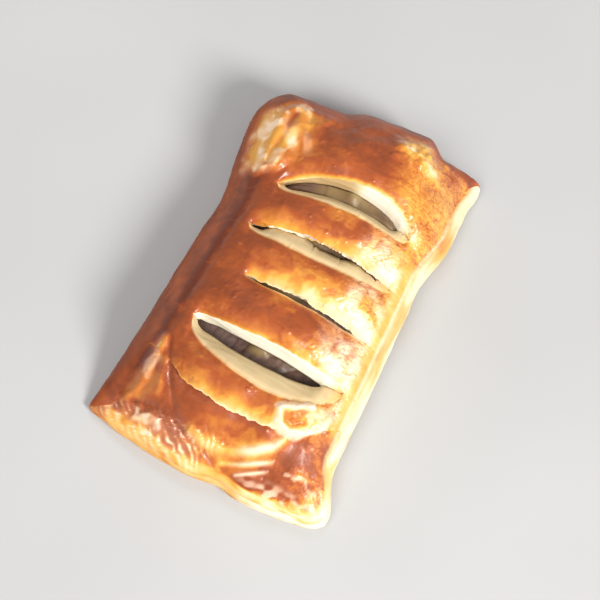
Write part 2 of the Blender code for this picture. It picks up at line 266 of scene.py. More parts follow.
def right_x(b):
    """Right side of the outline: a straight line, stepped in between its two pointed corners."""
    y = span(NEAR_RIGHT[1], FAR_RIGHT[1], b)
    waist = RIGHT_WAIST * rise(y, -75, 20) * fall(y, 50, 26)
    tip = RIGHT_TIP * fall(y, 78, 14) * rise(y, -75, 20)
    return span(NEAR_RIGHT[0], FAR_RIGHT[0], b) - waist - tip


def near_y(a):
    """Near end of the outline: a straight line, bulged towards the viewer, with one notch."""
    x = span(NEAR_LEFT[0], NEAR_RIGHT[0], a)
    bulge = NEAR_BULGE * (1 - abs(a) ** 2.6) - 1.8 * bump(x - 4, 7)
    return span(NEAR_LEFT[1], NEAR_RIGHT[1], a) - bulge


def far_y(a):
    """Far end of the outline: a straight line with two stepped bulges."""
    x = span(FAR_LEFT[0], FAR_RIGHT[0], a)
    bulge = FAR_BULGE * rise(x, -46, 9) * fall(x, 34, 11)
    crown = FAR_CROWN_BULGE * rise(x, -16, 13) * fall(x, 32, 10)
    return span(FAR_LEFT[1], FAR_RIGHT[1], a) + bulge + crown


def plan(a, b, inset):
    """Place in plan: a blend between the two sides and the two ends, each drawn in by its inset."""
    a, b = round_corners(a, b)
    start_x = left_x(b) + INSETS["left"] * inset["left"]
    end_x = right_x(b) - INSETS["right"] * inset["right"]
    start_y = near_y(a) + INSETS["near"] * inset["near"]
    end_y = far_y(a) - INSETS["far"] * inset["far"]
    return span(start_x, end_x, a), span(start_y, end_y, b)


def lid_plan(a, b):
    return plan(a, b, {side: 1 for side in INSETS})


def row_at(a, line):
    """The b at which each column meets a line y(x): the miss in y is fed back until it is gone."""
    b = np.zeros_like(a)
    for _ in range(14):
        x, y = lid_plan(a, b)
        b = b + (line(x) - y) / HALF_LENGTH
    return b


def slash_middle(slash, x):
    """A parabola through the middle of a slash, and a measure that is 0 there and 1 at its ends."""
    middle = (slash["left"] + slash["right"]) / 2
    u = (x - middle) / ((slash["right"] - slash["left"]) / 2)
    return slash["y"] - slash["arch"] * u * u + slash["slant"] * (x - middle), abs(u)


def lap_middle(x):
    """Line of the lap: a parabola as for a slash, with a bell that sags under the curled end."""
    middle, u = slash_middle(LAP, x)
    centre, width, sag = LAP["curl"]
    return middle - sag * bump(x - centre, width), u


def lens(u, blunt=0.6):
    """Width of a slash along it: one less u squared, to a power that keeps its ends blunt, and
    brought to a point over the last of it."""
    return np.clip(1 - u * u, 0, 1) ** blunt * smooth(0.12 + (1 - abs(u)) / 0.07)


def bluntness(slash, x):
    """Power for a slash's lens, one for its left half and one for its right half."""
    return np.where(2 * x < slash["left"] + slash["right"], slash["blunt"][0], slash["blunt"][1])


def ragged(x, size, seed):
    """Broken edge of a lip: noise along x at three pitches, each finer one weaker."""
    flat = np.zeros_like(x)
    wave = noise(x, flat, 5.2, seed) + 0.7 * noise(x, flat, 2.1, seed + 1)
    return size * (wave + 0.5 * noise(x, flat, 0.9, seed + 2))


def crust_lip(number, side, x):
    """Line of a slash's lip at the crust: its middle, moved out by the lens, then made ragged."""
    slash = SLASHES[number]
    middle, u = slash_middle(slash, x)
    rightward = u * np.sign(x - (slash["left"] + slash["right"]) / 2)
    if side > 0:
        out = (slash["open"] + slash["far"] - slash["hang"]) * (1 + slash["far_skew"] * rightward)
        rough = ragged(x, slash["ragged"], 40 + 5 * number)
    else:
        out = (slash["open"] + slash["near"]) * (1 + slash["skew"] * rightward)
        rough = 0.3 * noise(x, 0 * x, 5.5, 60 + 5 * number)
    width = lens(u, bluntness(slash, x))
    return middle + side * out * width + rough * width


def gapless(slash, x):
    """1 where a slash with named gaps is shut between its faces, 0 in the gaps."""
    if not slash["gaps"]:
        return np.zeros_like(x)
    gap = sum(bump((x - centre) / width, 1) for centre, width in slash["gaps"])
    return 1 - smooth(1.2 * gap)


def inner_lip(number, side, x):
    """Line of a slash's lip at the hollow: a shorter lens, shut but for a hair at its ends, with a
    near side that reaches further under the far lip wherever the slash has no gap."""
    slash = SLASHES[number]
    middle, _ = slash_middle(slash, x)
    start, end = slash["inside"]
    u = (2 * x - start - end) / (end - start)
    if side > 0:
        out = slash["open"] + slash["hang"] + 0.4
    else:
        out = slash["open"] - slash["ledge"] - slash["shut"] * gapless(slash, x)
    width = lens(u, bluntness(slash, x))
    rough = 0.35 * noise(x, 0 * x, 7, 80 + 5 * number)
    return middle + side * (out * width + 0.03) + rough * width


def lid_base(a, b):
    """Height of the plain lid: a dome across, between edges and a crown that drop at the ends."""
    near = np.clip((-0.55 - b) / 0.45, 0, 1)
    far = np.clip((b - 0.55) / 0.45, 0, 1)
    crown = CROWN - NEAR_DROP * near * smooth(near) - FAR_DROP * far ** 2
    near = np.clip((-0.4 - b) / 0.6, 0, 1)
    left = LEFT_EDGE - LEFT_NEAR_DROP * near * smooth(near)
    near = np.clip((-0.3 - b) / 0.7, 0, 1)
    far = np.clip((b - 0.35) / 0.65, 0, 1)
    right = RIGHT_EDGE - RIGHT_NEAR_DROP * near * smooth(near) - RIGHT_FAR_DROP * far * smooth(far)
    dome = np.clip(1 - abs(a) ** 2.4, 0, 1) ** 0.9
    return mix(span(left, right, a), crown, dome)


def strips(x, y, past_lap):
    """Puffed strips: beside each slash the lid rolls down as a power of the nearness to its lip,
    and the nearest strip lies a step lower, which it makes up over the lap's reach."""
    relief = np.zeros_like(x)
    for slash in SLASHES:
        middle, u = slash_middle(slash, x)
        joined = rise(u, 0.88, 0.12)
        lip = np.where(y > middle, slash["open"] + slash["far"], slash["open"] + slash["near"])
        roll = np.where(y > middle, slash["far_roll"], slash["near_roll"])
        roll = mix(roll, (slash["far_roll"] + slash["near_roll"]) / 2, joined)
        away = np.maximum(abs(y - middle) - lip * lens(u, bluntness(slash, x)), 0)
        away = np.hypot(away, 2.4 * rise(u, 0.94, 0.1))
        rolled = np.clip(1 - away / ROLL_REACH, 0, 1) ** 2
        nose = mix(np.where(y > middle, 1.3, 0.3), 0.8, joined)
        nose = nose * np.clip(1 - away / 2.2, 0, 1) ** 2.4
        relief -= (roll * rolled + nose) * fall(u, 1.28, 0.5)
    middle, u = lap_middle(x)
    under = middle - y
    ends = fall(u, 1.04, 0.36)
    if past_lap:
        lowered = LAP["step"] * np.clip(1 - under / LAP["reach"], 0, 1)
        return relief - ends * (lowered + 0.8 * bump(under, 2.2))
    rolled = np.clip(1 + under / ROLL_REACH, 0, 1) ** 2
    nose = np.clip(1 + (under - 1) / 2.4, 0, 1) ** 2.4
    return relief - (1.5 * rolled + nose) * ends


def flap_share(x, y, softness=4.5):
    """1 on the folded corner at the far left, fading over its bent edge."""
    edge = np.interp(y, FLAP_EDGE["y"], FLAP_EDGE["x"]) + 2.2 * noise(x, y, 5, 23)
    return smooth((edge - x) / softness + 0.5) * smooth((y - FLAP_EDGE["near_y"]) / 6)


def near_share(y):
    """1 on the flattened near end, fading towards the lap."""
    return fall(y, -61, 8)


def specks(x, y):
    """Small egg-wash blisters: bells at seeded random places, with random widths and heights."""
    random = np.random.default_rng(11)
    relief = np.zeros_like(x)
    for centre_x, centre_y, width, height in zip(
            random.uniform(-30, 36, SPECKS), random.uniform(-70, 66, SPECKS),
            random.uniform(0.3, 0.75, SPECKS), random.uniform(0.15, 0.6, SPECKS)):
        near = (abs(x - centre_x) < 3.5) & (abs(y - centre_y) < 3.5)
        relief[near] += height * bump(np.hypot(x[near] - centre_x, y[near] - centre_y), width)
    return relief


def crust_relief(x, y):
    """Folds as bells across lines, blisters, diagonal wrinkles at the near end, crumpled facets
    on the flap, and soft swellings, flakes, cracks and specks all over."""
    flap = flap_share(x, y)
    near = near_share(y)
    relief = flap * (FLAP_EDGE["height"] + 3.4 * fall(x, -20, 18) + 0.7 * flap_crumple(x, y))
    for points, width, height in FOLDS.values():
        relief += height * bump(line_distance(x, y, points), width)
    for centre_x, centre_y, radius, height in BLISTERS:
        wavy = np.hypot(x - centre_x, y - centre_y) * (1 + 0.3 * noise(x, y, 3.2, 31))
        relief += height * bump(wavy, radius) * (1 - 0.3 * crumple(x, y, 4, 39))
    flange = near * fall(x, 6, 10)
    relief += flange * (0.2 * np.sin(wrinkle_wave(x, y)) + 0.8 * wrinkle_crests(x, y))
    relief += flange * 0.4 * crumple(x, y, 3.6, 34)
    relief += fall(y, -66, 5) * rise(x, 8, 12) * 0.35 * crumple(x, y, 3.6, 35)
    corner = fall(x, -22, 8) * fall(y, -44, 8)
    relief += corner * (0.4 * crumple(x, 0.6 * y, 4, 41) + 0.3 * flakes(x, y, 4, 42))
    relief += 0.6 * noise(x, y, 10, 1) + 0.26 * noise(x, y, 4.6, 2) + 0.07 * noise(x, y, 1.9, 3)
    flaky = rise(x, 4, 18) * fall(y, 45, 10) * rise(y, -58, 8)
    relief += (0.08 + 0.3 * flaky) * flakes(x, 1.9 * y, 5.5, 5) - 0.25 * flaky * cracks(x, y)
    relief -= (0.02 + 0.18 * flaky) * crumple(x, 1.6 * y, 3.4, 7)
    far = rise(y, 62, 6)
    relief += far * 0.12 * crumple(0.6 * x, y, 4, 36)
    return relief + specks(x, y)


def cracks(x, y):
    """Thin cracks that run across: 1 where noise, squeezed along y, is close to 0."""
    return smooth(1 - abs(noise(x, 2.6 * y, 7, 72)) / 0.09)


def flap_crumple(x, y):
    """Long crumpled ridges that run with the flap's slanting edge."""
    return crumple(x + 0.45 * y, 0.45 * (y - 0.45 * x), 5.4, 21)


def wrinkle_wave(x, y):
    """Phase of the diagonal wrinkles: a slanting plane wave, bent by a sine and by noise."""
    return 0.66 * x + 0.8 * y + 0.9 * np.sin(0.17 * x) + 1.5 * noise(x, y, 6.5, 33)


def wrinkle_crests(x, y):
    """Thin crests of the wrinkles: one less the size of a sine of their phase, which is made
    finer, and broken by noise along them."""
    wave = 1.5 * wrinkle_wave(x, y) + 0.9 * noise(x, y, 2.8, 32)
    return (1 - abs(np.sin(wave))) ** 1.4 * smooth(0.65 + 1.1 * noise(x, y, 4.6, 30))


def edge_fade(a, b):
    """1 over the lid, falling to 0 at its edge, so that relief leaves the walls alone."""
    return smooth((1 - np.maximum(abs(a), abs(b))) / 0.07)


def side_crease(a, y):
    """A crease down the left edge of the lid, where the wall is folded up against it."""
    wavy = a + 0.94 + 0.03 * noise(y, y, 8, 38)
    return -0.55 * bump(wavy, 0.035) * rise(y, -60, 10) * fall(y, 34, 6)


def lid_height(a, b, x, y, past_lap):
    relief = strips(x, y, past_lap) + crust_relief(x, y)
    return lid_base(a, b) + relief * mix(0.25, 1, edge_fade(a, b)) + side_crease(a, y)


def ceiling_height(a, b, x, y, sides):
    """Underside of the lid, which follows the strips half as deep and thickens at its sides."""
    return lid_base(a, b) + 0.5 * strips(x, y, False) - LID_THICKNESS - 1.6 * abs(sides) ** 4


def wall_inset(c):
    """Share of each side's inset left at c: a quarter round out to the widest point, then back."""
    def leaving(widest, tuck):
        rising = 1 - (1 - np.minimum(c / widest, 1)) ** 2
        tucked = tuck * np.clip((c - widest) / (1 - widest), 0, 1) ** 2
        return 1 - rising + tucked
    return {"left": leaving(0.84, 0.22), "right": leaving(0.84, 0.25),
            "near": leaving(0.66, 0.35), "far": leaving(0.5, 0.62)}


def flap_on_wall(a, c, y):
    """1 where the folded corner reaches down the top of the left wall."""
    return (a < -0.999) * fall(c, 0.55, 0.45) * rise(y, 27, 7) * fall(y, 62, 8)


def wall_form(a, b, top, c):
    """A wall: it leaves the lid's edge outwards, sinks evenly to the base with a full shoulder,
    and carries soft waves and, at the near end, the thin leaves of the dough."""
    x, y = plan(a, b, wall_inset(c))
    shoulder = 4 * c * (1 - c) * span(1, 0.3, a)
    z = top * (1 - c) + shoulder
    middle = 4 * c * (1 - c)
    end = rise(abs(b), 0.985, 0.015)
    near = end * (b < 0)
    out = 0.35 * noise(x + y, 2 * z, 8, 51) + 0.15 * noise(x + y, 3 * z, 3, 52)
    leaves = 0.4 * np.sin(2.4 * z + 0.8 * noise(x, z, 9, 53) * 4)
    out = middle * (out + near * leaves + flap_on_wall(a, c, y) * 0.9 * crumple(y, 1.6 * z, 5, 22))
    out_x = np.where(abs(a) > 0.999, a, 0)
    out_y = np.where(abs(b) > 0.999, b, 0)
    return x + out * out_x, y + out * out_y, z


class Shell:
    """Collects points in grids, with values on them, and the faces between the points."""

    def __init__(self, values):
        self.places = []
        self.values = {name: [] for name in values}
        self.faces = []
        self.count = 0

    def add(self, x, y, z, **values):
        """Take in points and return their numbers in the same layout."""
        x, y, z = np.broadcast_arrays(x, y, z)
        self.places.append(np.stack((x, y, z), axis=-1).reshape(-1, 3))
        for name, parts in self.values.items():
            parts.append(np.broadcast_to(values.get(name, 0), x.shape).reshape(-1))
        numbers = self.count + np.arange(x.size).reshape(x.shape)
        self.count += x.size
        return numbers

    def skin(self, numbers):
        """Two triangles for each cell of a grid of point numbers; a cell with two equal corners
        keeps only the triangle that is left."""
        low, high = numbers[:-1], numbers[1:]
        first = np.stack((low[:, :-1], low[:, 1:], high[:, 1:]), axis=-1).reshape(-1, 3)
        second = np.stack((low[:, :-1], high[:, 1:], high[:, :-1]), axis=-1).reshape(-1, 3)
        faces = np.concatenate((first, second))
        self.faces.append(faces[(faces != np.roll(faces, 1, axis=1)).all(axis=1)])

    def at(self, numbers):
        """x, y and z of some points."""
        return np.concatenate(self.places)[numbers].T

    def tube(self, rings):
        """A skin over rings of point numbers that close on themselves."""
        self.skin(np.hstack((rings, rings[:, :1])))

    def cap(self, loop, z, **values):
        """Triangles from a closed loop of point numbers to one centre at height z."""
        centre = self.add(np.zeros(1), np.zeros(1), z, **values)[0]
        self.faces.append(np.stack((loop, np.roll(loop, -1), np.full_like(loop, centre)), axis=-1))

    def make(self, name, move):
        """One mesh in metres, moved into place, with its faces turned outwards."""
        places = (np.concatenate(self.places) + move) * MM
        faces = np.concatenate(self.faces)
        mesh = bpy.data.meshes.new(name)
        mesh.vertices.add(len(places))
        mesh.vertices.foreach_set("co", places.reshape(-1))
        mesh.loops.add(faces.size)
        mesh.loops.foreach_set("vertex_index", faces.reshape(-1).astype(np.int32))
        mesh.polygons.add(len(faces))
        mesh.polygons.foreach_set("loop_start", np.arange(0, faces.size, 3, dtype=np.int32))
        mesh.update(calc_edges=True)
        for value, parts in self.values.items():
            layer = mesh.attributes.new(value, 'FLOAT', 'POINT')
            layer.data.foreach_set("value", np.concatenate(parts).astype(np.float32))
        turned = bmesh.new()
        turned.from_mesh(mesh)
        bmesh.ops.recalc_face_normals(turned, faces=turned.faces)
        turned.to_mesh(mesh)
        turned.free()
        mesh.polygons.foreach_set("use_smooth", np.ones(len(mesh.polygons), dtype=bool))
        made = bpy.data.objects.new(name, mesh)
        bpy.context.scene.collection.objects.link(made)
        return made


def lid_columns():
    """Values of a for the columns: finer at the edges, and one exactly at each side of the hollow."""
    left = np.linspace(-1, -HOLLOW_ACROSS, EDGE_COLUMNS)
    middle = np.linspace(-HOLLOW_ACROSS, HOLLOW_ACROSS, MIDDLE_COLUMNS)
    return np.concatenate((left, middle[1:-1], -left[::-1]))


def rows_between(start, end, count):
    """Values of b for rows from one line to the next, closer together near both."""
    t = np.linspace(0, 1, count)[:, None]
    return mix(start, end, mix(t, smooth(t), 0.55)), np.broadcast_to(t, (count, start.size))


def beside_cut(x, number):
    """1 along the slash or lap with this number, fading to 0 past its ends."""
    if number < len(SLASHES):
        _, u = slash_middle(SLASHES[number], x)
    else:
        _, u = slash_middle(LAP, x)
    return fall(u, 1.06, 0.16)


def strip_bake_and_painted_light(x, y, t, number):
    """How brown a strip is: even, paler towards its near lip and patchy, with painted highlight as
    paler, golden colour towards its right end.
    """
    near_lip = bump(t + 0.12 * noise(x, y, 6, 77), 0.32 if number == 4 else 0.29)
    # Painted highlight: paler towards the right end, where the light falls hardest.
    right = rise(x, 6, 24)
    left = fall(x, -6, 20)
    along_lip = beside_cut(x, number)
    bake = 0.68 + 0.06 * left - 0.1 * right
    bake -= GOLD[number] * near_lip * rise(x, -30, 14) * along_lip
    bake += 0.11 * noise(x, 1.4 * y, 13, 71)
    bent_x = x + 2.2 * noise(x, y, 4, 86)
    bent_y = y + 1.6 * noise(x, y, 4, 87)
    bake += 0.06 * noise(bent_x, 1.6 * bent_y, 5, 81) + 0.05 * noise(bent_x, 1.3 * bent_y, 1.8, 88)
    bake += 0.1 * np.sin(t * np.pi) * (number == 3) - 0.04 * (number == 4)
    blond = smooth(0.1 + 2 * noise(bent_x, 1.5 * bent_y, 5, 79)) * rise(x, -16, 20)
    bake += (0.05 - 0.15 * blond) * (number > 0)
    bake += 0.2 * right * cracks(x, y)
    bake -= (0.04 + 0.2 * right) * (flakes(x, 1.9 * y, 5.5, 5) - 0.4)
    bake -= 0.16 * bump(t, 0.05) * along_lip
    # More painted highlight over the right ends.
    bake -= 0.32 * right * bump(t, 0.6)
    cracked = right * fall(y, 44, 8)
    bake += 0.14 * cracked * smooth((crumple(x, 1.6 * y, 3.4, 7) - 0.55) / 0.35)
    # Painted highlight: golden along the right edge past the strips' ends.
    golden = rise(x, 28, 5) * fall(y, 30, 10) * rise(y, -54, 8)
    return mix(bake, 0.33 + 0.12 * noise(x, y, 4, 78), 0.8 * golden)


def lid_bake_and_painted_light(x, y, t, number):
    """Brownness over the lid, with painted light in it: each strip's own, the dark middle of the far
    strip, the golden blisters and flap, and the near end's ridges, paler as painted highlight, the
    painted shadow under its lap and its dark pool."""
    bake = strip_bake_and_painted_light(x, y, t, number)
    if number == 0:
        dark = bump((x - 2) / 22, 1) * bump((y - 55) / 8, 1)
        bake = bake + 0.12 * dark + (0.07 + 0.08 * bump(t, 0.24)) * smooth(t / 0.12)
        bake = bake + (0.13 - 0.34 * bump(t, 0.07)) * beside_cut(x, 0) * bump(t, 0.12)
        for centre_x, centre_y, radius, _ in BLISTERS:
            away = np.hypot(x - centre_x, y - centre_y) * (1 + 0.3 * noise(x, y, 3.2, 31))
            bake = bake - 0.34 * bump(away, radius)
        # Darker towards the far edge: painted shade where the end curves away from the light.
        bake = bake + 0.12 * rise(y, 70, 5) - 0.24 * bump(np.hypot(x - 45, y - 73), 6)
    flap = flap_share(x, y, 14)
    flap_bake = 0.46 + 0.05 * flap_crumple(x, y) + 0.18 * noise(x, y, 6, 91)
    # The flap darkens towards its far edge too: painted shade.
    bake = mix(bake, flap_bake + 0.3 * rise(y, 59, 7), flap)
    # Ribs painted paler as painted highlight, creases darker as painted shade.
    for points, width, height in FOLDS.values():
        bake = bake - (0.13 if height > 0 else -0.17) * bump(line_distance(x, y, points), width)
    for slash in SLASHES:
        end_y, _ = slash_middle(slash, slash["right"])
        away = np.hypot(x - slash["right"] - 1, (y - end_y) * 1.3)
        bake = mix(bake, 0.26, 0.8 * bump(away, 4))
    corner = fall(x, -14, 14) * fall(y, -46, 12)
    bake = bake - corner * (0.16 + 0.14 * noise(x, y, 5, 92))
    # More painted highlight along the left rib.
    bake = bake - 0.12 * bump(line_distance(x, y, FOLDS["left rib"][0]), 2.2)
    shaded = fall(x, -28, 6)
    bake = mix(bake, np.maximum(bake, 0.44), shaded)
    bake = bake + 0.4 * bump(np.hypot(x + 47, y + 69), 6)
    if number == 5:
        ridge = line_distance(x, y, FOLDS["first ridge"][0])
        second = line_distance(x, y, FOLDS["second ridge"][0])
        tan = line_distance(x, y, ((-20, -62.5), (-5.3, -62), (9.2, -58.7)))
        bake = bake + 0.17 * np.maximum(beside_cut(x, 4), fall(t, 1, 0.3))
        # Paler along the first two ridges, painted highlight on their crests, and along a tan band.
        bake = bake - 0.42 * bump(ridge, 3) - 0.24 * bump(second, 2) - 0.1 * bump(tan, 2.2)
        # Darker just under the lap on its left: painted shadow.
        bake = bake + 0.25 * bump(1 - t, 0.1) * fall(x, -8, 8) * beside_cut(x, 4)
        bake = bake + 0.24 * bump(np.hypot(x - 25, y + 62), 9)
        bake = bake + 0.25 * bump(np.hypot((x - 20) / 1.6, y + 73), 3.5)
        # Darker in the crack under the lap: painted shadow.
        bake = bake + 0.3 * bump(1 - t, 0.05) * beside_cut(x, 4)
        wrinkled = fall(y, -68, 5) * fall(x, 6, 12)
        # Paler on the wrinkle crests: painted highlight.
        bake = bake - wrinkled * (0.1 + 0.34 * wrinkle_crests(x, y))
        bake = bake - 0.2 * bump(line_distance(x, y, ((-40, -68.5), (-30, -70.5))), 3)
        bake = bake - 0.16 * bump(line_distance(x, y, ((-17, -77.5), (0, -77.5))), 2.5)
    elif number > 0:
        bake = bake - 0.16 * bump(1 - t, 0.07) * beside_cut(x, number - 1)
    return np.where(bake > 0.7, 0.7 + 0.16 * np.tanh((bake - 0.7) / 0.16), bake)


def lid_film_and_highlight(x, y, t=0):
    """Pale flaky film and painted highlight on the crust: along the listed lines, in streaks on the
    flap, on flakes at the right ends of the strips, which fade as t nears 1, and on crests of the
    near end's wrinkles; the streaks, the right ends' glare and the crests are painted highlight."""
    broken = smooth(0.55 + 0.9 * noise(x, y, 2, 98) + 0.5 * noise(x, y, 0.9, 99))
    film = np.zeros_like(x)
    shift_x = 1.5 * noise(x, y, 3, 84)
    shift_y = 1.5 * noise(x, y, 3, 85)
    swell = noise(x, y, 4, 95)
    for points, width, share, rough in PALE_FLAKES_AND_HIGHLIGHTS:
        wide = np.maximum(width * (1 + 0.8 * rough * swell), 0.3)
        away = line_distance(x + rough * shift_x, y + rough * shift_y, points) / wide
        film = np.maximum(film, share * smooth(1.5 - 0.9 * away) * mix(1, broken, 0.7 * rough))
    # Painted highlight along the crests of the near end's three ridges.
    for name in ("first ridge", "second ridge", "third ridge"):
        points, width, _ = FOLDS[name]
        tapered = rise(x, 1, 12) * fall(x, 19, 5)
        film = np.maximum(film, 0.95 * bump(line_distance(x, y, points), 0.9 * width) * tapered)
    # Painted highlight in streaks over the flap.
    streak = noise(1.2 * x + 0.5 * y, 0.3 * (y - 0.5 * x), 3.4, 94) + 0.8 * noise(x, 0.6 * y, 6, 96)
    film = film + flap_share(x, y, 14) * 0.3 * smooth(0.1 + streak) * fall(y, 58, 16)
    # Painted glare on the flakes at the right ends of the strips.
    end = rise(x, 9, 13) * rise(y, -48, 8) * fall(y, 40, 8)
    end = end * fall(x, 34, 5) * mix(1, 0.62, rise(y, 12, 8))
    end = end * mix(0.22, 1, smooth((0.95 + 0.3 * noise(x, y, 4, 73) - t) / 0.5))
    unbroken = 1 - 0.7 * smooth((crumple(x, 1.6 * y, 3.4, 7) - 0.5) / 0.4)
    layered = 0.75 + 0.35 * flakes(x, 1.9 * y, 5.5, 5) - 0.55 * cracks(x, y)
    film = film + end * layered * smooth(0.6 + 0.9 * noise(x, y, 5, 90)) * unbroken
    end = fall(y, -70, 4) * rise(x, 6, 12)
    film = film + 0.6 * end * smooth(0.4 + 1.2 * noise(x, 1.6 * y, 2.6, 97))
    # Painted highlight on the crests of the near end's wrinkles.
    crest = near_share(y) * fall(y, -64, 8) * fall(x, 2, 16)
    crest = crest * (0.12 + smooth(1.8 * wrinkle_crests(x, y) - 0.3) * broken)
    return np.clip(film + 0.8 * crest, 0, 1)


def lid_dough_and_highlight(a, x, y, t, number):
    """Pale dough on the lid: along its right edge as painted highlight, and bare dough where a strip
    thins out to a cut face.
    """
    edge = 0.9 * rise(a, 0.965, 0.035) * fall(y, 58, 12) * rise(y, -66, 10)
    thin = 0.5 * bump(1 - t, 0.045) * beside_cut(x, number - 1) if 0 < number < 5 else 0
    return np.clip(edge + thin * fall(abs(a), 0.86, 0.1), 0, 1)


def add_lid_rows(shell, a, start, end, count, number, past_lap=False, skip=(1, 1)):
    """Rows of one strip from b = start to b = end, less the rows at either line that it shares."""
    b, t = rows_between(start, end, count)
    b = b[skip[0]:count - skip[1]]
    t = t[skip[0]:count - skip[1]]
    a = np.broadcast_to(a, b.shape)
    x, y = lid_plan(a, b)
    z = lid_height(a, b, x, y, past_lap)
    edge = rise(abs(a), 0.9, 0.1)
    pool = bump(np.hypot(x - 25, y + 64), 10)
    # Darker along the crease down the lid's left edge: painted shade.
    side = 0.16 * fall(a, -0.9, 0.08) * rise(y, -60, 10) * fall(y, 32, 8)
    return shell.add(x, y, z, bake=lid_bake_and_painted_light(x, y, t, number) + side, glaze=1 - 0.3 * edge - 0.7 * pool,
                     dough=lid_dough_and_highlight(a, x, y, t, number), film=lid_film_and_highlight(x, y, t)), b


def add_lip(shell, a, line, number, t):
    """One row of points along a lip."""
    b = row_at(a, line)
    x, y = lid_plan(a, b)
    z = lid_height(a, b, x, y, False)
    return shell.add(x, y, z, bake=lid_bake_and_painted_light(x, y, np.full_like(x, t), number), glaze=1,
                     film=lid_film_and_highlight(x, y)), b


def evened(row, width):
    """Running mean along a row, with its ends repeated outwards."""
    padded = np.pad(row, width // 2, mode="edge")
    return np.convolve(padded, np.full(width, 1 / width), mode="valid")


